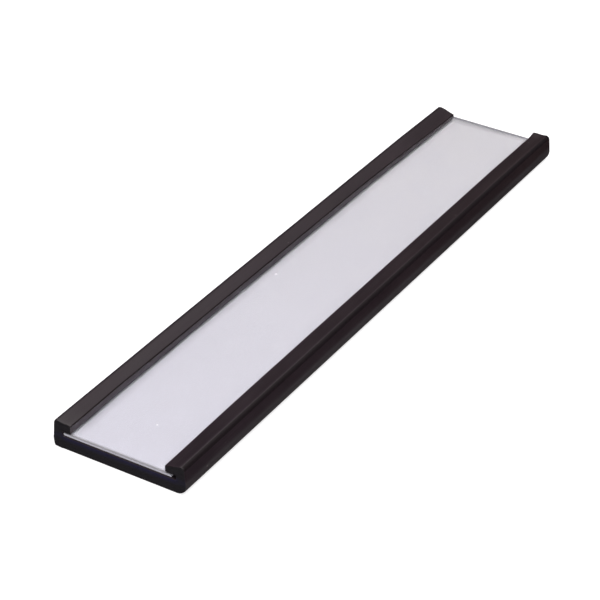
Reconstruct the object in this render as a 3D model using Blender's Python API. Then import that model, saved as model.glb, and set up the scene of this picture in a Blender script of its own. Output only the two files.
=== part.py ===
"""Magnetic label holder: a C-profile strip of flexible magnet with a paper label and a clear cover.

The strip lies on its magnetised back. X runs across it, Y along it and Z up, away from the shelf
that it sticks to. The origin is the centre of the back. The label and the cover lie in the grooves
under the two lips, and either can be slid out at either end.
"""

import math

import bmesh
import bpy
from mathutils import Vector

MM = 0.001

# The strip as a whole
WIDTH = 20.0 * MM
LENGTH = 100.0 * MM
BASE_THICKNESS = 2.0 * MM

# Side walls: rounded at the foot, and leaning in towards the lips
FOOT_RADIUS = 1.5 * MM
WALL_LEAN = math.radians(5.0)
SHOULDER_RADIUS = 0.6 * MM
SHOULDER_TOP = 4.15 * MM

# Lips: wedges, thickest at the wall, whose tips keep the sheets down
TIP_X = 6.95 * MM
TIP_TOP = 3.7 * MM
TIP_BOTTOM = 2.6 * MM
TIP_TOP_RADIUS = 0.2 * MM
TIP_BOTTOM_RADIUS = 0.25 * MM

# Grooves that the sheets slide in
GROOVE_ROOT_X = 8.45 * MM
GROOVE_ROOT_TOP = 2.6 * MM
GROOVE_RADIUS = 0.12 * MM

# Sheets, which lie against the groove on the -X side
SLIDING_GAP = 0.05 * MM
SHEET_WIDTH = 16.1 * MM
SHEET_SHIFT_X = -0.3 * MM
LABEL_THICKNESS = 0.15 * MM
LABEL_LENGTH = LENGTH - 0.25 * MM
COVER_THICKNESS = 0.25 * MM
COVER_LENGTH = LENGTH

ARC_STEP = math.radians(7.5)


def clear_scene():
    for obj in list(bpy.data.objects):
        bpy.data.objects.remove(obj)


def material(name, colour, roughness, alpha=1.0):
    """A Principled material. Nothing on this object is metal to look at."""
    made = bpy.data.materials.new(name)
    made.use_nodes = True
    shader = made.node_tree.nodes["Principled BSDF"]
    shader.inputs["Base Color"].default_value = (*colour, 1.0)
    shader.inputs["Metallic"].default_value = 0.0
    shader.inputs["Roughness"].default_value = roughness
    shader.inputs["Alpha"].default_value = alpha
    return made


def fillet(before, corner, after, radius):
    """Points of the arc that rounds a corner of an outline, from the side of before to that of after."""
    to_before = (before - corner).normalized()
    to_after = (after - corner).normalized()
    opening = to_before.angle(to_after)
    turn = math.pi - opening
    centre = corner + (to_before + to_after).normalized() * radius / math.sin(opening / 2)
    reach = radius / math.tan(opening / 2)
    start = corner + to_before * reach - centre
    sense = 1.0 if to_before.cross(to_after) < 0 else -1.0
    steps = max(2, round(turn / ARC_STEP))
    points = []
    for step in range(steps + 1):
        angle = sense * turn * step / steps
        across = start.x * math.cos(angle) - start.y * math.sin(angle)
        up = start.x * math.sin(angle) + start.y * math.cos(angle)
        points.append(centre + Vector((across, up)))
    return points


def wall_x(height):
    """X of the leaning wall at a height. Its foot is rounded, which leaves the profile WIDTH across."""
    overshoot = math.tan(WALL_LEAN) + 1.0 / math.cos(WALL_LEAN) - 1.0
    return WIDTH / 2 + FOOT_RADIUS * overshoot - height * math.tan(WALL_LEAN)


def lip_slope():
    """Angle at which a lip's top rises from its tip to meet the round shoulder as a tangent."""
    centre_z = SHOULDER_TOP - SHOULDER_RADIUS
    centre_x = wall_x(centre_z) - SHOULDER_RADIUS / math.cos(WALL_LEAN)
    to_centre = Vector((centre_x - TIP_X, centre_z - TIP_TOP))
    return math.atan2(to_centre.y, to_centre.x) + math.asin(SHOULDER_RADIUS / to_centre.length)


def shoulder_corner():
    """Where the lines of the wall and of the lip's top would meet."""
    rise = math.tan(lip_slope())
    z = (TIP_TOP + rise * (wall_x(0.0) - TIP_X)) / (1.0 + rise * math.tan(WALL_LEAN))
    return Vector((wall_x(z), z))


def half_outline():
    """The +X half of the profile, from the middle of the back round to the middle of the base's top."""
    corners = (
        (Vector((0.0, 0.0)), 0.0),
        (Vector((wall_x(0.0), 0.0)), FOOT_RADIUS),
        (shoulder_corner(), SHOULDER_RADIUS),
        (Vector((TIP_X, TIP_TOP)), TIP_TOP_RADIUS),
        (Vector((TIP_X, TIP_BOTTOM)), TIP_BOTTOM_RADIUS),
        (Vector((GROOVE_ROOT_X, GROOVE_ROOT_TOP)), GROOVE_RADIUS),
        (Vector((GROOVE_ROOT_X, BASE_THICKNESS)), GROOVE_RADIUS),
        (Vector((0.0, BASE_THICKNESS)), 0.0),
    )
    points = []
    for (before, _), (corner, radius), (after, _) in zip(corners, corners[1:], corners[2:]):
        points += fillet(before, corner, after, radius)
    return points


def channel_outline():
    """The whole C profile. The -X half is the mirror image, walked back to the start."""
    half = half_outline()
    return half + [Vector((-point.x, point.y)) for point in reversed(half)]


def sheet_outline(thickness):
    """Section of a flat sheet about its own centre."""
    half_width = SHEET_WIDTH / 2
    half_thickness = thickness / 2
    return [
        Vector((-half_width, -half_thickness)),
        Vector((half_width, -half_thickness)),
        Vector((half_width, half_thickness)),
        Vector((-half_width, half_thickness)),
    ]


def extruded(name, outline, length, surface):
    """An outline in X and Z drawn out along Y, equally far to both sides of its own origin."""
    shape = bmesh.new()
    section = [shape.verts.new((point.x, -length / 2, point.y)) for point in outline]
    end = shape.faces.new(section)
    grown = bmesh.ops.extrude_face_region(shape, geom=[end])
    moved = [item for item in grown["geom"] if isinstance(item, bmesh.types.BMVert)]
    bmesh.ops.translate(shape, verts=moved, vec=(0.0, length, 0.0))
    bmesh.ops.recalc_face_normals(shape, faces=shape.faces)
    mesh = bpy.data.meshes.new(name)
    shape.to_mesh(mesh)
    shape.free()
    mesh.materials.append(surface)
    obj = bpy.data.objects.new(name, mesh)
    bpy.context.scene.collection.objects.link(obj)
    return obj


def build_channel():
    magnet = material("flexible_magnet", (0.030, 0.022, 0.024), 0.55)
    channel = extruded("magnetic_channel", channel_outline(), LENGTH, magnet)
    channel.data.shade_smooth()
    channel.data.set_sharp_from_angle(angle=math.radians(30.0))
    return channel


def build_label(channel):
    card = material("label_card", (0.80, 0.80, 0.86), 0.85)
    label = extruded("paper_label", sheet_outline(LABEL_THICKNESS), LABEL_LENGTH, card)
    label.parent = channel
    bottom = BASE_THICKNESS + SLIDING_GAP
    label.location = (SHEET_SHIFT_X, 0.0, bottom + LABEL_THICKNESS / 2)
    return label


def build_cover(channel):
    clear_pvc = material("clear_pvc", (0.90, 0.92, 0.96), 0.08, alpha=0.2)
    cover = extruded("clear_cover", sheet_outline(COVER_THICKNESS), COVER_LENGTH, clear_pvc)
    cover.parent = channel
    bottom = BASE_THICKNESS + SLIDING_GAP + LABEL_THICKNESS + SLIDING_GAP
    cover.location = (SHEET_SHIFT_X, 0.0, bottom + COVER_THICKNESS / 2)
    return cover


def build_label_holder():
    clear_scene()
    channel = build_channel()
    build_label(channel)
    build_cover(channel)


build_label_holder()
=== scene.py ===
"""Looks of the magnetic label holder: its channel, label and cover as finer meshes, in a white studio."""

import math
from collections import namedtuple

import bmesh
import bpy
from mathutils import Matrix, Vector, noise


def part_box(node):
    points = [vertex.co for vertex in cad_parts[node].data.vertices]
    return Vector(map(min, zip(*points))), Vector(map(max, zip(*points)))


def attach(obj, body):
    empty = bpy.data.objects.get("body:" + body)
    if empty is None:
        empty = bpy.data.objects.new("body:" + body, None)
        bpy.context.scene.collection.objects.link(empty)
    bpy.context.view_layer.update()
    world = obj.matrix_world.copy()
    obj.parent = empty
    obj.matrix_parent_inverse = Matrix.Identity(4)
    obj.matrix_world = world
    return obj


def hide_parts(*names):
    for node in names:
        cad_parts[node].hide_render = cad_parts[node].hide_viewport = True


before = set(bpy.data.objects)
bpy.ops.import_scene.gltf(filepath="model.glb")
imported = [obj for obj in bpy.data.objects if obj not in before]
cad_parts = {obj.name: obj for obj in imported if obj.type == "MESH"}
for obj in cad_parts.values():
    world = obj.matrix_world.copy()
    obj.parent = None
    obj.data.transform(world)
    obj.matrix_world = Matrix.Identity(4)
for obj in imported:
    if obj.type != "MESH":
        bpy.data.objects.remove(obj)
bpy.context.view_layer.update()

MM = 0.001

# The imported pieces, each as its lowest and its highest corner
CHANNEL_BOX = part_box("magnetic_channel")
COVER_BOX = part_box("clear_cover")
LABEL_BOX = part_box("paper_label")

# The channel's mesh
WELD_DISTANCE = 0.0005 * MM
END_TOLERANCE = 0.001 * MM
BACK_TOLERANCE = 0.01 * MM
FINEST_RUN = 0.35 * MM
STATION_STEP = 0.8 * MM

# Its eased cut edges: how deep each goes along the strip, and how far it draws the outline in
CUT_ROLL_NEAR = (0.35 * MM, 0.09 * MM)
CUT_ROLL_FAR = (0.06 * MM, 0.02 * MM)
CUT_ROLL_STEPS = 5

# How the soft strip strays from the CAD's straight one. A value under -1 is for the -X side, and
# one under 1 for the +X side. NEAR is the end at low Y, FAR is the other, and a RUN is a length
# along the strip over which a change dies away.
LIP_REACH = 2.0 * MM
LIP_LIFT_NEAR = {-1: 0.20 * MM, 1: -0.18 * MM}
LIP_LIFT_FAR = {-1: -0.30 * MM, 1: 0.10 * MM}
LIP_LIFT_RUN = {-1: 30.0 * MM, 1: 20.0 * MM}
CREST_ARCH = {-1: 0.09 * MM, 1: 0.0}
CREST_SAG_FAR = {-1: 0.15 * MM, 1: 0.12 * MM}
CREST_SAG_RUN = 14.0 * MM
LIP_DRAWN_OUT = {-1: 0.38 * MM, 1: -0.10 * MM}
LIP_DRAWN_LOSS_NEAR = 0.45
LIP_DRAWN_LOSS_RUN = 12.0 * MM
HORN_LIFT = 0.3 * MM
HORN_RUN = 1.5 * MM
SHOULDER_RADIUS = 0.6 * MM
SHOULDER_SQUARENESS_FAR = {-1: 0.45, 1: 0.0}
FOOT_SQUARENESS_NEAR = {-1: 0.75, 1: 0.0}
FOOT_SQUARENESS_FAR = {-1: 0.0, 1: 0.22}
FOOT_SQUARE_RUN = 4.0 * MM
RIPPLE_DEPTH = 0.012 * MM
RIPPLE_LENGTH = 6.0 * MM
RIPPLE_RISE = 1.0 * MM

# Where the skin is rubbed dull and darkened with painted shade: a height, distances from the plane X = 0, and
# the upward part of a face's normal
RUBBED_AND_SHADED_ABOVE = 3.0 * MM
RUBBED_AND_SHADED_TIP_WITHIN = 8.0 * MM
RUBBED_AND_SHADED_TIP_UPWARD = (0.3, 0.88)
RUBBED_AND_SHADED_CREST_BEYOND = 9.3 * MM
RUBBED_AND_SHADED_CREST_UPWARD = 0.25

# The sheets
SHEET_EDGE_RADIUS = 0.04 * MM
SHEET_EDGE_STEPS = 3
SHEET_STEP = 1.2 * MM
SHEET_PROUD_FAR = 0.57 * MM
SHEET_SKEW_FAR = 0.035
COVER_CROWN = 0.04 * MM
COVER_GREY_BANDS = (0.2 * MM, 0.35 * MM)
LABEL_CROWN = 0.03 * MM
BROAD_FACE_UPWARD = 0.98
CUT_EDGE_UPWARD = 0.5

# Marks on the magnet and on the label, all of them painted light or shade. Each pair is where a change starts
# and where it is complete.
# Painted reflection of the label on the faces of the lips' tips
TIP_REFLECTION_STEEPNESS = (0.1, 0.35)
TIP_REFLECTION_SIDEWAYS = (7.9 * MM, 8.1 * MM)
TIP_REFLECTION_HEIGHT = (2.5 * MM, 2.7 * MM)
# Painted highlight on top of the -X lip, beside the near end
NEAR_HIGHLIGHT_RUN = 4.0 * MM
NEAR_HIGHLIGHT_SIDEWAYS = (-7.0 * MM, -6.5 * MM)
NEAR_HIGHLIGHT_HEIGHT = (3.4 * MM, 3.7 * MM)
# Painted contact shadow, low on the foot
FOOT_SHADOW_HEIGHT = (0.6 * MM, 0.9 * MM)
# Painted reflection of the floor, in a band along the lower walls
FLOOR_REFLECTION_BOTTOM = (0.5 * MM, 1.0 * MM)
FLOOR_REFLECTION_TOP = (1.9 * MM, 2.4 * MM)
FLOOR_REFLECTION_SIDEWAYS = (CHANNEL_BOX[1].x - 1.0 * MM, CHANNEL_BOX[1].x - 0.6 * MM)
# Painted violet light on the cut ends, in a band under the label
VIOLET_BOTTOM = (LABEL_BOX[0].z - 0.9 * MM, LABEL_BOX[0].z - 0.2 * MM)
VIOLET_TOP = (LABEL_BOX[0].z, LABEL_BOX[0].z + 0.5 * MM)
VIOLET_SIDEWAYS = (8.0 * MM, 9.0 * MM)
VIOLET_AT_SIDES = 0.3
# Painted shade at the label's near and far ends
END_SHADE_NEAR = (LABEL_BOX[0].y, LABEL_BOX[0].y + 0.55 * MM)
END_SHADE_FAR = (LABEL_BOX[1].y - 1.0 * MM, LABEL_BOX[1].y + 0.6 * MM)

# Noise patterns. The scale is in cells per metre, and a small stretch draws a pattern out along that axis.
Pattern = namedtuple("Pattern", "scale detail roughness stretch")
EVEN = (1.0, 1.0, 1.0)
DIE_LINES = Pattern(3500.0, 2.0, 0.5, (1.0, 0.02, 1.0))
SKIN_GRAIN = Pattern(5500.0, 4.0, 0.6, EVEN)
BLOTCHES = Pattern(260.0, 3.0, 0.5, (1.0, 0.3, 1.0))
BLADE_DRAG = Pattern(3000.0, 4.0, 0.6, (0.25, 1.0, 1.0))
CUT_GRAIN = Pattern(7000.0, 3.0, 0.6, EVEN)
FIBRES = Pattern(4200.0, 5.0, 0.65, (1.0, 0.35, 1.0))
CLOUDS = Pattern(180.0, 2.0, 0.5, EVEN)
CARD_LAYERS = Pattern(9000.0, 3.0, 0.5, (0.3, 0.3, 1.0))
RUBBING_MARKS = Pattern(1500.0, 4.0, 0.6, (1.0, 0.05, 1.0))
SHEAR_MARKS = Pattern(6000.0, 3.0, 0.5, (1.0, 1.0, 0.2))

# Ranges of a pattern's values, each of which a change of colour or gloss follows. The first holds
# nearly all of them, and the last is for two patterns added up.
PATTERN_RANGE = (0.3, 0.7)
GRAIN_RANGE = (0.35, 0.7)
UPPER_RANGE = (0.45, 0.75)
FIBRE_RANGE = (0.35, 0.65)
SUM_RANGE = (0.7, 1.3)

# Roughness, from the lowest to the highest that a pattern gives
SKIN_ROUGHNESS = (0.34, 0.48)
RUBBED_ROUGHNESS = (0.36, 0.46)
CUT_ROUGHNESS = (0.6, 0.8)
CARD_ROUGHNESS = (0.82, 0.95)
PVC_ROUGHNESS = (0.02, 0.09)
PVC_EDGE_ROUGHNESS = (0.35, 0.6)

# Colours of the magnet, as linear red, green and blue. The far colours are darker with painted shade as well
# as more brown.
SKIN_PALE_NEAR = (0.023, 0.0135, 0.0195)
SKIN_PALE_FAR = (0.0195, 0.0098, 0.0108)
SKIN_DEEP_NEAR = (0.016, 0.0095, 0.0135)
SKIN_DEEP_FAR = (0.0125, 0.0064, 0.0072)
SKIN_GRAIN_COLOUR = (0.028, 0.019, 0.022)
# Painted reflection of the floor
FLOOR_REFLECTION_COLOUR = (0.040, 0.034, 0.037)
# Painted highlight
NEAR_HIGHLIGHT_COLOUR = (0.040, 0.036, 0.036)
# Painted reflection of the label
TIP_REFLECTION_COLOUR = (0.065, 0.053, 0.062)
# Painted contact shadow
FOOT_SHADOW_COLOUR = (0.006, 0.004, 0.005)
DUST_COLOUR = (0.25, 0.23, 0.22)
# The dull edges' colours, darkened with painted shade
RUBBED_SHADE_DEEP = (0.008, 0.0055, 0.0065)
RUBBED_SHADE_PALE = (0.015, 0.010, 0.012)
CUT_DEEP = (0.006, 0.005, 0.007)
CUT_PALE = (0.020, 0.0165, 0.021)
# Painted violet light
CUT_PAINTED_VIOLET = (0.010, 0.007, 0.050)

# How much of the skin's browning and painted shade towards the far end there is on the -X side. The +X wall
# has all of it.
BROWNING_AND_SHADE_ON_MINUS_X = 0.35

# Colours of the sheets
CARD_NEAR = (0.730, 0.735, 0.798)
CARD_FAR = (0.768, 0.767, 0.766)
CARD_CLOUD = (0.690, 0.695, 0.740)
CARD_FIBRE = (0.650, 0.655, 0.700)
# Painted shade at the label's ends
CARD_END_SHADE = (0.17, 0.165, 0.175)
CARD_EDGE_DEEP = (0.50, 0.49, 0.54)
CARD_EDGE_PALE = (0.66, 0.65, 0.70)
PVC_CLEAR = (0.985, 0.985, 1.0)
PVC_DUST = (0.90, 0.90, 0.93)
PVC_MILKY_DEEP = (0.50, 0.50, 0.57)
PVC_MILKY_PALE = (0.60, 0.60, 0.66)
PVC_GREY_BAND_DEEP = (0.27, 0.27, 0.285)
PVC_GREY_BAND_PALE = (0.37, 0.37, 0.385)
PVC_IOR = 1.53

# Studio. Its lengths are in metres, and its colours are linear red, green and blue.
FLOOR_HALF_SIZE = 4.0
WALL_RADIUS = 3.5
WALL_HEIGHT = 6.0
WALL_SEGMENTS = 64
LAMP_DISTANCE = 0.9
WORLD_LOW = (0.02, 0.018, 0.022)
WORLD_HIGH = (1.0, 0.95, 0.97)
WORLD_BRIGHTENING = (0.52, 0.95)
WHITE = (1.0, 1.0, 1.0)
BLACK = (0.0, 0.0, 0.0)
FLOOR_GREY = (0.6, 0.6, 0.6)

# Camera, at the photograph's viewing angle
CAMERA_AZIMUTH = math.radians(31.68)
CAMERA_ELEVATION = math.radians(32.45)
CAMERA_DISTANCE = 280.0 * MM
CAMERA_AIM = Vector((-2.96, -3.07, -1.63)) * MM
CAMERA_ANGLE = math.radians(17.11)
CAMERA_CLIP = 1.0 * MM


# Node helpers

def add_node(tree, kind, settings=None, **inputs):
    """A new node with its properties and unlinked inputs set. An input's name has _ for a space."""
    made = tree.nodes.new(kind)
    for name, value in (settings or {}).items():
        setattr(made, name, value)
    for name, value in inputs.items():
        made.inputs[name.replace("_", " ")].default_value = value
    return made


def new_material(name, **inputs):
    """A material with one Principled shader. Returns it with its tree and that shader."""
    made = bpy.data.materials.new(name)
    made.use_nodes = True
    tree = made.node_tree
    shader = tree.nodes["Principled BSDF"]
    for input_name, value in inputs.items():
        shader.inputs[input_name.replace("_", " ")].default_value = value
    return made, tree, shader


def stretched_place(tree, stretch):
    """Object coordinates, scaled so that a pattern is drawn out along an axis whose stretch is small."""
    place = add_node(tree, "ShaderNodeTexCoord")
    mapping = add_node(tree, "ShaderNodeMapping", Scale=stretch)
    tree.links.new(place.outputs["Object"], mapping.inputs["Vector"])
    return mapping.outputs["Vector"]


def object_axis(tree, axis):
    """One coordinate of a point on the object, in metres."""
    place = add_node(tree, "ShaderNodeTexCoord")
    parts = add_node(tree, "ShaderNodeSeparateXYZ")
    tree.links.new(place.outputs["Object"], parts.inputs["Vector"])
    return parts.outputs[axis]


def noise_pattern(tree, pattern):
    """The values of a noise texture on the object, for one Pattern."""
    node = add_node(
        tree,
        "ShaderNodeTexNoise",
        Scale=pattern.scale,
        Detail=pattern.detail,
        Roughness=pattern.roughness,
    )
    tree.links.new(stretched_place(tree, pattern.stretch), node.inputs["Vector"])
    return node.outputs["Fac"]


def remap(tree, value, from_low, from_high, to_low, to_high):
    """A value moved from one range to another, and held within the second."""
    node = add_node(
        tree,
        "ShaderNodeMapRange",
        From_Min=from_low,
        From_Max=from_high,
        To_Min=to_low,
        To_Max=to_high,
    )
    tree.links.new(value, node.inputs["Value"])
    return node.outputs["Result"]


def rising(tree, value, limits, full=1.0):
    """0 up to the first limit, and full from the second one on."""
    return remap(tree, value, *limits, 0.0, full)


def falling(tree, value, limits, full=1.0):
    """full up to the first limit, and 0 from the second one on."""
    return remap(tree, value, *limits, full, 0.0)


def spread(tree, pattern, low, high):
    """A noise pattern drawn out over a range."""
    return remap(tree, pattern, *PATTERN_RANGE, low, high)


def combine(tree, operation, first, second):
    """A Math node on two values. second is a socket or a number."""
    node = add_node(tree, "ShaderNodeMath", {"operation": operation})
    tree.links.new(first, node.inputs[0])
    if isinstance(second, float):
        node.inputs[1].default_value = second
    else:
        tree.links.new(second, node.inputs[1])
    return node.outputs["Value"]


def product(tree, first, *others):
    result = first
    for other in others:
        result = combine(tree, "MULTIPLY", result, other)
    return result


def from_middle(tree):
    """How far a point is from the plane X = 0, in metres."""
    distance = add_node(tree, "ShaderNodeMath", {"operation": "ABSOLUTE"})
    tree.links.new(object_axis(tree, "X"), distance.inputs[0])
    return distance.outputs["Value"]


def blend_colours(tree, share, first, second):
    """Mixes two colours by a share. Each colour is a socket or three numbers."""
    node = add_node(tree, "ShaderNodeMix", {"data_type": "RGBA"})
    tree.links.new(share, node.inputs["Factor"])
    for name, colour in (("A", first), ("B", second)):
        socket = next(s for s in node.inputs if s.name == name and s.type == "RGBA")
        if isinstance(colour, tuple):
            socket.default_value = (*colour, 1.0)
        else:
            tree.links.new(colour, socket)
    return next(s for s in node.outputs if s.type == "RGBA")


def layered(tree, base, layers):
    """A base colour under layers, each of which is a share and a colour."""
    colour = base
    for share, coat in layers:
        colour = blend_colours(tree, share, colour, coat)
    return colour


def specks(tree, scale, radius, chosen):
    """1 on small round specks in a chosen share of the cells of a Voronoi pattern, and 0 elsewhere."""
    cells = add_node(tree, "ShaderNodeTexVoronoi", Scale=scale)
    tree.links.new(stretched_place(tree, EVEN), cells.inputs["Vector"])
    dot = combine(tree, "LESS_THAN", cells.outputs["Distance"], radius)
    pick = add_node(tree, "ShaderNodeSeparateColor")
    tree.links.new(cells.outputs["Color"], pick.inputs["Color"])
    return product(tree, dot, combine(tree, "LESS_THAN", pick.outputs["Red"], chosen))


def add_bump(tree, shader, height, strength, depth, under=None):
    """Bump on a shader, on top of another bump if one is given."""
    bump = add_node(tree, "ShaderNodeBump", Strength=strength, Distance=depth)
    tree.links.new(height, bump.inputs["Height"])
    if under is not None:
        tree.links.new(under, bump.inputs["Normal"])
    tree.links.new(bump.outputs["Normal"], shader.inputs["Normal"])
    return bump.outputs["Normal"]


def link_surface(tree, shader, colour, roughness):
    tree.links.new(colour, shader.inputs["Base Color"])
    tree.links.new(roughness, shader.inputs["Roughness"])


# Materials of the channel

def magnet_material():
    """Extruded flexible magnet: dark brown-black ferrite in rubber, with die lines along it and some dust.

    It is more violet at the near end and more brown at the far one, where painted shade also darkens it, most
    on the +X wall. It has painted light as well: a reflection of the floor along the foot of its walls, a
    highlight on the -X lip by the near end, a reflection of the label on the tips' faces, and a painted
    contact shadow low on the foot.
    """
    made, tree, shader = new_material("magnet_rubber")
    die_lines = noise_pattern(tree, DIE_LINES)
    grain = noise_pattern(tree, SKIN_GRAIN)
    blotches = noise_pattern(tree, BLOTCHES)
    dust = specks(tree, scale=900.0, radius=0.10, chosen=0.02)
    # The skin turns more brown and takes painted shade towards the far end, fully on the +X side and partly
    # on the -X side.
    lengthwise = rising(tree, object_axis(tree, "Y"), (CHANNEL_BOX[0].y, CHANNEL_BOX[1].y))
    rightwards = remap(tree, object_axis(tree, "X"), 0.0, CHANNEL_BOX[1].x, BROWNING_AND_SHADE_ON_MINUS_X, 1.0)
    browner_and_shaded = product(tree, lengthwise, rightwards)
    pale = blend_colours(tree, browner_and_shaded, SKIN_PALE_NEAR, SKIN_PALE_FAR)
    deep = blend_colours(tree, browner_and_shaded, SKIN_DEEP_NEAR, SKIN_DEEP_FAR)
    colour = layered(tree, deep, (
        (spread(tree, blotches, low=0.0, high=1.0), pale),
        (rising(tree, grain, UPPER_RANGE, full=0.5), SKIN_GRAIN_COLOUR),
        # painted reflection of the floor on the lower walls
        (painted_floor_reflection(tree, blotches), FLOOR_REFLECTION_COLOUR),
        # painted highlight on the -X lip by the near end
        (near_painted_highlight(tree, blotches), NEAR_HIGHLIGHT_COLOUR),
        # painted reflection of the label on the tips' faces
        (tip_painted_reflection(tree, blotches), TIP_REFLECTION_COLOUR),
        # painted contact shadow on the foot
        (painted_foot_shadow(tree), FOOT_SHADOW_COLOUR),
        (rising(tree, dust, (0.0, 1.0), full=0.35), DUST_COLOUR),
    ))
    both = combine(tree, "ADD", die_lines, blotches)
    link_surface(tree, shader, colour, remap(tree, both, *SUM_RANGE, *SKIN_ROUGHNESS))
    add_skin_bump(tree, shader, die_lines, grain)
    return made


def add_skin_bump(tree, shader, die_lines, grain):
    """The relief of the extruded skin: shallow lines along it, and grain on top of them."""
    lines = add_bump(tree, shader, die_lines, strength=0.35, depth=0.01 * MM)
    add_bump(tree, shader, grain, strength=0.5, depth=0.012 * MM, under=lines)


def tip_painted_reflection(tree, pattern):
    """How much painted reflection of the label a point has: on the steep faces of the lips' tips."""
    surface = add_node(tree, "ShaderNodeNewGeometry")
    parts = add_node(tree, "ShaderNodeSeparateXYZ")
    tree.links.new(surface.outputs["Normal"], parts.inputs["Vector"])
    steep = falling(tree, parts.outputs["Z"], TIP_REFLECTION_STEEPNESS)
    at_tip = falling(tree, from_middle(tree), TIP_REFLECTION_SIDEWAYS)
    high = rising(tree, object_axis(tree, "Z"), TIP_REFLECTION_HEIGHT)
    return product(tree, steep, at_tip, high, spread(tree, pattern, low=0.7, high=1.0))


def near_painted_highlight(tree, pattern):
    """How much painted highlight a point has: on top of the -X lip, beside the near end."""
    run = (CHANNEL_BOX[0].y, CHANNEL_BOX[0].y + NEAR_HIGHLIGHT_RUN)
    along = falling(tree, object_axis(tree, "Y"), run, full=0.8)
    sideways = falling(tree, object_axis(tree, "X"), NEAR_HIGHLIGHT_SIDEWAYS)
    high = rising(tree, object_axis(tree, "Z"), NEAR_HIGHLIGHT_HEIGHT)
    return product(tree, along, sideways, high, spread(tree, pattern, low=0.5, high=1.0))


def painted_foot_shadow(tree):
    """How much painted contact shadow a point has, low on the foot."""
    return falling(tree, object_axis(tree, "Z"), FOOT_SHADOW_HEIGHT, full=0.9)


def painted_floor_reflection(tree, pattern):
    """How much painted reflection of the floor a point has: a band along the walls, from just over the foot
    to half their height.
    """
    height = object_axis(tree, "Z")
    below_top = falling(tree, height, FLOOR_REFLECTION_TOP)
    above_bottom = rising(tree, height, FLOOR_REFLECTION_BOTTOM)
    on_wall = rising(tree, from_middle(tree), FLOOR_REFLECTION_SIDEWAYS)
    return product(tree, below_top, above_bottom, on_wall, spread(tree, pattern, low=0.55, high=1.0))


def rubbed_shaded_magnet_material():
    """The same magnet where its edges are worn, with little gloss left, and with its colour darkened as
    painted shade.
    """
    made, tree, shader = new_material("magnet_rubbed_painted_shade", Specular_IOR_Level=0.24)
    die_lines = noise_pattern(tree, DIE_LINES)
    grain = noise_pattern(tree, SKIN_GRAIN)
    colour = blend_colours(tree, rising(tree, grain, GRAIN_RANGE), RUBBED_SHADE_DEEP, RUBBED_SHADE_PALE)
    link_surface(tree, shader, colour, spread(tree, die_lines, *RUBBED_ROUGHNESS))
    add_skin_bump(tree, shader, die_lines, grain)
    return made


def cut_magnet_material():
    """The cut ends: duller than the skin, torn a little by the blade, with fine grains of ferrite, and
    painted violet light in a band under the label.
    """
    made, tree, shader = new_material("magnet_cut", Specular_IOR_Level=0.4)
    drag = noise_pattern(tree, BLADE_DRAG)
    grain = noise_pattern(tree, CUT_GRAIN)
    plain = blend_colours(tree, rising(tree, grain, GRAIN_RANGE), CUT_DEEP, CUT_PALE)
    colour = blend_colours(tree, painted_violet_light(tree), plain, CUT_PAINTED_VIOLET)
    link_surface(tree, shader, colour, spread(tree, drag, *CUT_ROUGHNESS))
    torn = add_bump(tree, shader, drag, strength=0.6, depth=0.03 * MM)
    add_bump(tree, shader, grain, strength=0.5, depth=0.015 * MM, under=torn)
    return made


def painted_violet_light(tree):
    """How much painted violet light a point of the cut face has: in a band under the label, which fades at
    the sides.
    """
    height = object_axis(tree, "Z")
    above_bottom = rising(tree, height, VIOLET_BOTTOM, full=0.8)
    below_top = falling(tree, height, VIOLET_TOP, full=0.8)
    between = remap(tree, from_middle(tree), *VIOLET_SIDEWAYS, 1.0, VIOLET_AT_SIDES)
    return product(tree, combine(tree, "MINIMUM", above_bottom, below_top), between)


# Materials of the sheets

def paper_material():
    """Uncoated card, cool white, with fibres, a faint cloudiness and painted shade that greys its ends."""
    made, tree, shader = new_material("label_paper", Specular_IOR_Level=0.2)
    fibres = noise_pattern(tree, FIBRES)
    clouds = noise_pattern(tree, CLOUDS)
    along = object_axis(tree, "Y")
    lengthwise = rising(tree, along, (LABEL_BOX[0].y, LABEL_BOX[1].y))
    # painted shade at the label's near and far ends
    near = falling(tree, along, END_SHADE_NEAR, full=0.7)
    far = rising(tree, along, END_SHADE_FAR, full=0.5)
    colour = layered(tree, blend_colours(tree, lengthwise, CARD_NEAR, CARD_FAR), (
        (spread(tree, clouds, low=0.0, high=0.3), CARD_CLOUD),
        (rising(tree, fibres, FIBRE_RANGE, full=0.35), CARD_FIBRE),
        (combine(tree, "MAXIMUM", near, far), CARD_END_SHADE),
    ))
    link_surface(tree, shader, colour, spread(tree, fibres, *CARD_ROUGHNESS))
    add_bump(tree, shader, fibres, strength=0.4, depth=0.012 * MM)
    return made


def paper_edge_material():
    """The cut edge of the card, a little rougher and greyer than its face."""
    made, tree, shader = new_material("label_paper_edge", Specular_IOR_Level=0.2, Roughness=0.95)
    layers = noise_pattern(tree, CARD_LAYERS)
    colour = blend_colours(tree, layers, CARD_EDGE_DEEP, CARD_EDGE_PALE)
    tree.links.new(colour, shader.inputs["Base Color"])
    add_bump(tree, shader, layers, strength=0.4, depth=0.01 * MM)
    return made


def clear_pvc_material():
    """Clear rigid PVC, with a slight haze, fine rubbing marks and a few specks of dust."""
    made, tree, shader = new_material("clear_pvc_sheet", IOR=PVC_IOR, Transmission_Weight=1.0)
    rubs = noise_pattern(tree, RUBBING_MARKS)
    dust = specks(tree, scale=160.0, radius=0.035, chosen=0.12)
    colour = blend_colours(tree, dust, PVC_CLEAR, PVC_DUST)
    worn = remap(tree, rubs, *UPPER_RANGE, *PVC_ROUGHNESS)
    dusty = rising(tree, dust, (0.0, 1.0), full=0.3)
    link_surface(tree, shader, colour, combine(tree, "MAXIMUM", worn, dusty))
    add_bump(tree, shader, rubs, strength=0.05, depth=0.004 * MM)
    return made


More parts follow.
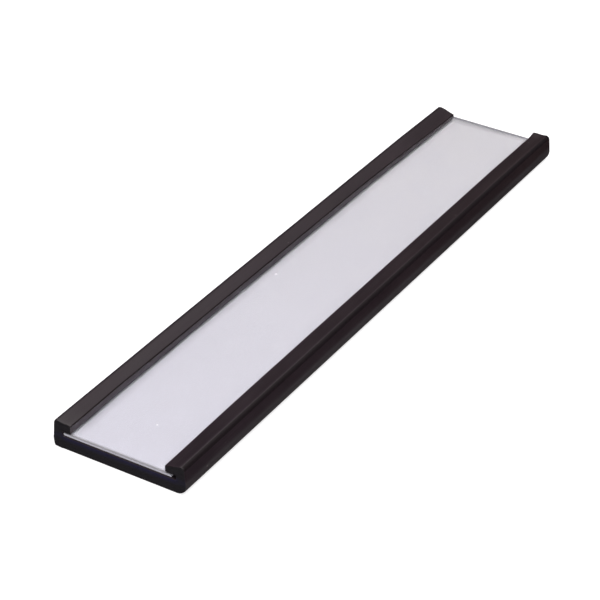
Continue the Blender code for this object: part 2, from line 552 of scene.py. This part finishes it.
def cut_pvc_material():
    """The cover's sheared edges: milky on the cut itself, and grey in a band on the face beside the cut."""
    made, tree, shader = new_material("clear_pvc_edge", IOR=PVC_IOR, Transmission_Weight=0.2)
    shear = noise_pattern(tree, SHEAR_MARKS)
    milky = blend_colours(tree, shear, PVC_MILKY_DEEP, PVC_MILKY_PALE)
    grey_band = blend_colours(tree, shear, PVC_GREY_BAND_DEEP, PVC_GREY_BAND_PALE)
    face_height = (COVER_BOX[1].z - 2 * SHEET_EDGE_RADIUS, COVER_BOX[1].z)
    on_face = rising(tree, object_axis(tree, "Z"), face_height)
    colour = blend_colours(tree, on_face, milky, grey_band)
    link_surface(tree, shader, colour, spread(tree, shear, *PVC_EDGE_ROUGHNESS))
    add_bump(tree, shader, shear, strength=0.4, depth=0.01 * MM)
    return made


# Lofting

def lofted(outline, stations, place):
    """A closed skin through one ring for each station, which is a Y and an inset of the outline.

    place moves a point to where it lies. The sides are smooth and the two caps are flat.
    """
    normals = outward_normals(outline)
    shape = bmesh.new()
    rings = []
    for y, inset in stations:
        ring = []
        for point, normal in zip(outline, normals):
            ring.append(shape.verts.new(place(point - normal * inset, normal, y)))
        rings.append(ring)
    for near, far in zip(rings, rings[1:]):
        for index in range(len(near)):
            after = (index + 1) % len(near)
            shape.faces.new((near[index], near[after], far[after], far[index])).smooth = True
    for ring in (rings[0], rings[-1][::-1]):
        shape.faces.new(ring)
    bmesh.ops.recalc_face_normals(shape, faces=shape.faces)
    return shape


def outward_normals(points):
    """Unit normals of a closed outline that has its solid on the left."""
    normals = []
    for before, after in zip(points[-1:] + points[:-1], points[1:] + points[:1]):
        run = (after - before).normalized()
        normals.append(Vector((run.y, -run.x)))
    return normals


def with_fine_runs(points, longest):
    """The same outline, with points added so that no straight run is longer than a given length."""
    fine = []
    for here, after in zip(points, points[1:] + points[:1]):
        steps = max(1, math.ceil((after - here).length / longest))
        fine += [here.lerp(after, step / steps) for step in range(steps)]
    return fine


def rounded_stations(low, high, near_roll, far_roll, roll_steps, spacing):
    """Stations from low to high. Each end is drawn in round a quarter ellipse of a depth and an inset."""
    near = [(low + depth, inset) for depth, inset in quarter_ellipse(*near_roll, roll_steps)]
    far = [(high - depth, inset) for depth, inset in quarter_ellipse(*far_roll, roll_steps)]
    start = low + near_roll[0]
    straight = high - far_roll[0] - start
    steps = round(straight / spacing)
    middle = [(start + straight * step / steps, 0.0) for step in range(steps + 1)]
    return near + middle + far[::-1]


def quarter_ellipse(depth, inset, steps):
    """Steps back from an end, each with how far the outline is drawn in there."""
    turns = [math.pi / 2 * step / steps for step in range(steps)]
    return [(depth * (1 - math.cos(turn)), inset * (1 - math.sin(turn))) for turn in turns]


def new_object(name, shape, *materials):
    mesh = bpy.data.meshes.new(name)
    shape.to_mesh(mesh)
    shape.free()
    for surface in materials:
        mesh.materials.append(surface)
    made = bpy.data.objects.new(name, mesh)
    bpy.context.scene.collection.objects.link(made)
    return made


# The channel

def end_outline(node):
    """The outline of the CAD node's near end as (X, Z) points in order, the solid on their left."""
    shape = bmesh.new()
    shape.from_mesh(node.data)
    bmesh.ops.remove_doubles(shape, verts=shape.verts, dist=WELD_DISTANCE)
    end_y = min(vert.co.y for vert in shape.verts)
    in_end = {vert for vert in shape.verts if vert.co.y - end_y < END_TOLERANCE}
    beside = {}
    for edge in shape.edges:
        on_rim = any(not set(face.verts) <= in_end for face in edge.link_faces)
        if on_rim and set(edge.verts) <= in_end:
            for vert in edge.verts:
                beside.setdefault(vert, []).append(edge.other_vert(vert))
    first = min(in_end, key=lambda vert: (vert.co.z, vert.co.x))
    walk = [first, max(beside[first], key=lambda vert: vert.co.x)]
    while walk[-1] is not first:
        walk.append(next(vert for vert in beside[walk[-1]] if vert is not walk[-2]))
    points = [Vector((vert.co.x, vert.co.z)) for vert in walk[:-1]]
    shape.free()
    return points


def smooth_share(value):
    """A value held between 0 and 1, and eased at both."""
    held = min(1.0, max(0.0, value))
    return held * held * (3.0 - 2.0 * held)


def nearness(distance, run):
    """1 at an end of the strip, and eased down to 0 at a distance of run from it."""
    return 1.0 - smooth_share(distance / run)


def side_of(point):
    return 1 if point.x > 0 else -1


def from_ends(y):
    """How far a Y is from the near end and from the far end."""
    return y - CHANNEL_BOX[0].y, CHANNEL_BOX[1].y - y


def lengthwise_share(y):
    from_near, from_far = from_ends(y)
    return from_near / (from_near + from_far)


def lip_lift(side, y):
    """How much higher a lip's tip lies than in the CAD. The +X one ends in a small raised horn."""
    from_near, from_far = from_ends(y)
    run = LIP_LIFT_RUN[side]
    lift = LIP_LIFT_NEAR[side] * nearness(from_near, run) + LIP_LIFT_FAR[side] * nearness(from_far, run)
    if side == 1:
        lift += HORN_LIFT * nearness(from_far, HORN_RUN)
    return lift


def crest_lift(side, y):
    """How much higher a side's crest lies than in the CAD: arched midway, and sagging at the far end."""
    _, from_far = from_ends(y)
    sag = CREST_SAG_FAR[side] * nearness(from_far, CREST_SAG_RUN)
    return CREST_ARCH[side] * math.sin(math.pi * lengthwise_share(y)) - sag


def lip_draw(side, y):
    """How much further out a lip's tip lies than in the CAD: less at the near end, none at the far."""
    from_near, from_far = from_ends(y)
    held = smooth_share(from_far / LIP_LIFT_RUN[side])
    return LIP_DRAWN_OUT[side] * held * (1.0 - LIP_DRAWN_LOSS_NEAR * nearness(from_near, LIP_DRAWN_LOSS_RUN))


def settled(point, y, tip_x):
    """Where a point of the soft strip really lies: its lips and crests don't run quite true."""
    side = side_of(point)
    above = smooth_share((point.y - COVER_BOX[1].z) / (CHANNEL_BOX[1].z - COVER_BOX[1].z))
    along_lip = smooth_share((tip_x + LIP_REACH - abs(point.x)) / LIP_REACH)
    up = above * (along_lip * lip_lift(side, y) + crest_lift(side, y))
    out = along_lip * lip_draw(side, y) if point.y >= COVER_BOX[1].z else 0.0
    return Vector((point.x + side * out, y, point.y + up))


def squared(point, centre, radius, squareness):
    """Pushes a point of a quarter round out towards its corner.

    The centre and the radius are those of the +X one. The radius is negative in Z if the round faces down.
    """
    across = (abs(point.x) - centre.x) / radius.x
    up = (point.y - centre.y) / radius.y
    if across <= 0.0 or up <= 0.0:
        return point
    growth = max(across, up) ** -squareness
    corner_x = centre.x + across * growth * radius.x
    return Vector((side_of(point) * corner_x, centre.y + up * growth * radius.y))


def rippled(point, normal, y):
    """A point of the outline, moved by the faint ripple that the strip has from the label's height up."""
    free = smooth_share((point.y - LABEL_BOX[0].z) / RIPPLE_RISE)
    wave = noise.noise(Vector((point.x, y, point.y)) / RIPPLE_LENGTH)
    return point + normal * (free * RIPPLE_DEPTH * wave)


def is_rubbed_and_shaded(face):
    """Whether a face is on the turn of a lip's tip, or on the crest of the +X wall: the dull places that
    painted shade darkens.
    """
    centre = face.calc_center_median()
    upward = face.normal.z
    on_tip = abs(centre.x) < RUBBED_AND_SHADED_TIP_WITHIN and RUBBED_AND_SHADED_TIP_UPWARD[0] < upward < RUBBED_AND_SHADED_TIP_UPWARD[1]
    on_crest = centre.x > RUBBED_AND_SHADED_CREST_BEYOND and upward > RUBBED_AND_SHADED_CREST_UPWARD
    return centre.z > RUBBED_AND_SHADED_ABOVE and (on_tip or on_crest)


def build_channel():
    """The channel as a loft of the CAD's section along Y, as uneven as the soft strip is."""
    outline = end_outline(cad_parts["magnetic_channel"])
    tip_x = min(abs(point.x) for point in outline if point.y > COVER_BOX[1].z)
    crest = max(outline, key=lambda point: point.y)
    shoulder_centre = Vector((abs(crest.x), crest.y - SHOULDER_RADIUS))
    shoulder_radius = Vector((SHOULDER_RADIUS, SHOULDER_RADIUS))
    foot_x = max(point.x for point in outline if point.y < BACK_TOLERANCE)
    foot_size = CHANNEL_BOX[1].x - foot_x
    foot_centre = Vector((foot_x, foot_size))
    foot_radius = Vector((foot_size, -foot_size))

    def place(point, normal, y):
        side = side_of(point)
        share = lengthwise_share(y)
        from_near, _ = from_ends(y)
        crisp = SHOULDER_SQUARENESS_FAR[side] * share
        pressed = FOOT_SQUARENESS_NEAR[side] * nearness(from_near, FOOT_SQUARE_RUN)
        pressed += FOOT_SQUARENESS_FAR[side] * share
        moved = squared(rippled(point, normal, y), shoulder_centre, shoulder_radius, crisp)
        return settled(squared(moved, foot_centre, foot_radius, pressed), y, tip_x)

    near_y, far_y = CHANNEL_BOX[0].y, CHANNEL_BOX[1].y
    stations = rounded_stations(near_y, far_y, CUT_ROLL_NEAR, CUT_ROLL_FAR, CUT_ROLL_STEPS, STATION_STEP)
    shape = lofted(with_fine_runs(outline, FINEST_RUN), stations, place)
    # Material 2 is the dull skin on the edges, its colour darkened with painted shade.
    skin, cut, rubbed_and_shaded = range(3)
    for face in shape.faces:
        if not face.smooth:
            face.material_index = cut
        else:
            face.material_index = rubbed_and_shaded if is_rubbed_and_shaded(face) else skin
    surfaces = (magnet_material(), cut_magnet_material(), rubbed_shaded_magnet_material())
    channel = new_object("channel_strip", shape, *surfaces)
    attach(channel, "channel")
    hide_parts("magnetic_channel")


# The sheets

def rounded_rectangle(low, high, radius, steps):
    """An outline about an (X, Z) box with rounded corners, the solid on its left."""
    inner_low = Vector((low.x + radius, low.z + radius))
    inner_high = Vector((high.x - radius, high.z - radius))
    centres = (
        (inner_high.x, inner_low.y, -90.0),
        (inner_high.x, inner_high.y, 0.0),
        (inner_low.x, inner_high.y, 90.0),
        (inner_low.x, inner_low.y, 180.0),
    )
    points = []
    for x, z, start in centres:
        for step in range(steps + 1):
            angle = math.radians(start + 90.0 * step / steps)
            points.append(Vector((x + radius * math.cos(angle), z + radius * math.sin(angle))))
    return points


def sheet_shape(low, high, crown, marks=(0.0, 0.0)):
    """A thin sheet that fills a box, crowned by a hair, with eased edges.

    It was cut a little long and askew, and so it stands out of the channel's far end. marks are how
    far a marked band reaches in from the near end and from the far end.

    The broad faces have material 0. They are flat shaded, so that the rounding of the edges doesn't
    shade over onto them. The cut edges and the marked bands have material 1.
    """
    middle = (low + high) / 2
    size = high - low

    def stretched(x, y):
        proud = SHEET_PROUD_FAR - SHEET_SKEW_FAR * (x - middle.x)
        return y + proud * (y - low.y) / size.y

    def place(point, normal, y):
        across = math.cos(math.pi * (point.x - middle.x) / size.x)
        along = math.cos(math.pi * (y - middle.y) / size.y)
        return point.x, stretched(point.x, y), point.y + across * crown * along

    outline = rounded_rectangle(low, high, SHEET_EDGE_RADIUS, SHEET_EDGE_STEPS)
    eased = (SHEET_EDGE_RADIUS, SHEET_EDGE_RADIUS)
    stations = rounded_stations(low.y, high.y, eased, eased, SHEET_EDGE_STEPS, SHEET_STEP)
    marked_low, marked_high = low.y + marks[0], high.y - marks[1]
    stations += [(marked_y, 0.0) for marked_y in (marked_low, marked_high) if low.y < marked_y < high.y]
    stations.sort()
    shape = lofted(with_fine_runs(outline, SHEET_STEP), stations, place)
    face_surface, edge_surface = range(2)
    for face in shape.faces:
        centre = face.calc_center_median()
        upward = abs(face.normal.z)
        marked = not stretched(centre.x, marked_low) < centre.y < stretched(centre.x, marked_high)
        face.smooth = face.smooth and upward <= BROAD_FACE_UPWARD
        face.material_index = edge_surface if marked or upward < CUT_EDGE_UPWARD else face_surface
    return shape


def build_label():
    shape = sheet_shape(*LABEL_BOX, LABEL_CROWN)
    label = new_object("label_strip", shape, paper_material(), paper_edge_material())
    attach(label, "label")
    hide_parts("paper_label")


def build_cover():
    """The cover casts no shadow, so that the lamps reach the label under it."""
    shape = sheet_shape(*COVER_BOX, COVER_CROWN, COVER_GREY_BANDS)
    cover = new_object("cover_strip", shape, clear_pvc_material(), cut_pvc_material())
    cover.visible_shadow = False
    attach(cover, "cover")
    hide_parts("clear_cover")


# The stage

def stage_material(name, paint, glow, roughness):
    """A matt material that also glows white."""
    made, _, _ = new_material(
        name,
        Base_Color=(*paint, 1.0),
        Emission_Color=(*WHITE, 1.0),
        Emission_Strength=glow,
        Roughness=roughness,
        Specular_IOR_Level=0.0,
    )
    return made


def build_floor():
    """A plain pale floor at the height of the strip's back. The strip doesn't mirror it."""
    shape = bmesh.new()
    bmesh.ops.create_grid(shape, x_segments=1, y_segments=1, size=FLOOR_HALF_SIZE)
    surface = stage_material("floor_white", paint=FLOOR_GREY, glow=0.75, roughness=0.8)
    floor = new_object("floor", shape, surface)
    floor.visible_glossy = False


def build_backdrop():
    """A plain white wall round the floor. The camera sees it, but it neither lights nor shades the strip."""
    shape = bmesh.new()
    bmesh.ops.create_cone(
        shape, segments=WALL_SEGMENTS, radius1=WALL_RADIUS, radius2=WALL_RADIUS, depth=WALL_HEIGHT
    )
    surface = stage_material("backdrop_white", paint=BLACK, glow=1.0, roughness=1.0)
    surface.cycles.emission_sampling = "NONE"
    wall = new_object("backdrop", shape, surface)
    wall.visible_diffuse = False
    wall.visible_glossy = False
    wall.visible_transmission = False
    wall.visible_shadow = False


def add_softbox(name, azimuth, elevation, size, radiance, colour):
    """A square area lamp that faces the origin. Azimuth 0 is towards +Y, and 90 is towards +X."""
    lamp = bpy.data.lights.new(name, "AREA")
    lamp.shape = "SQUARE"
    lamp.size = size
    lamp.energy = radiance * math.pi * size**2
    lamp.color = colour
    made = bpy.data.objects.new(name, lamp)
    bpy.context.scene.collection.objects.link(made)
    turn, rise = math.radians(azimuth), math.radians(elevation)
    towards = Vector((math.sin(turn) * math.cos(rise), math.cos(turn) * math.cos(rise), math.sin(rise)))
    made.location = towards * LAMP_DISTANCE
    made.rotation_mode = "QUATERNION"
    made.rotation_quaternion = towards.to_track_quat("Z", "Y")


def build_world():
    """A studio that is bright overhead and dim at the sides and underneath."""
    world = bpy.data.worlds.new("studio")
    world.use_nodes = True
    tree = world.node_tree
    direction = add_node(tree, "ShaderNodeTexCoord")
    parts = add_node(tree, "ShaderNodeSeparateXYZ")
    tree.links.new(direction.outputs["Generated"], parts.inputs["Vector"])
    overhead = rising(tree, parts.outputs["Z"], WORLD_BRIGHTENING)
    sky = blend_colours(tree, overhead, WORLD_LOW, WORLD_HIGH)
    tree.links.new(sky, tree.nodes["Background"].inputs["Color"])
    bpy.context.scene.world = world


def build_lights():
    add_softbox("overhead", azimuth=120, elevation=72, size=0.8, radiance=2.3, colour=(1.0, 0.985, 0.98))
    add_softbox("back", azimuth=-35, elevation=57, size=0.55, radiance=0.7, colour=(1.0, 0.93, 0.95))
    add_softbox("fill", azimuth=135, elevation=40, size=0.7, radiance=0.8, colour=(0.98, 0.985, 1.0))


def build_camera():
    lens = bpy.data.cameras.new("camera")
    lens.angle = CAMERA_ANGLE
    lens.clip_start = CAMERA_CLIP
    camera = bpy.data.objects.new("camera", lens)
    bpy.context.scene.collection.objects.link(camera)
    back = Vector((
        math.sin(CAMERA_AZIMUTH) * math.cos(CAMERA_ELEVATION),
        -math.cos(CAMERA_AZIMUTH) * math.cos(CAMERA_ELEVATION),
        math.sin(CAMERA_ELEVATION),
    ))
    camera.location = CAMERA_AIM + back * CAMERA_DISTANCE
    camera.rotation_mode = "QUATERNION"
    camera.rotation_quaternion = back.to_track_quat("Z", "Y")
    bpy.context.scene.camera = camera


def set_view():
    """The Standard view shows the floor as white as the photograph's background."""
    bpy.context.scene.view_settings.view_transform = "Standard"


build_channel()
build_label()
build_cover()
build_floor()
build_backdrop()
build_world()
build_lights()
build_camera()
set_view()
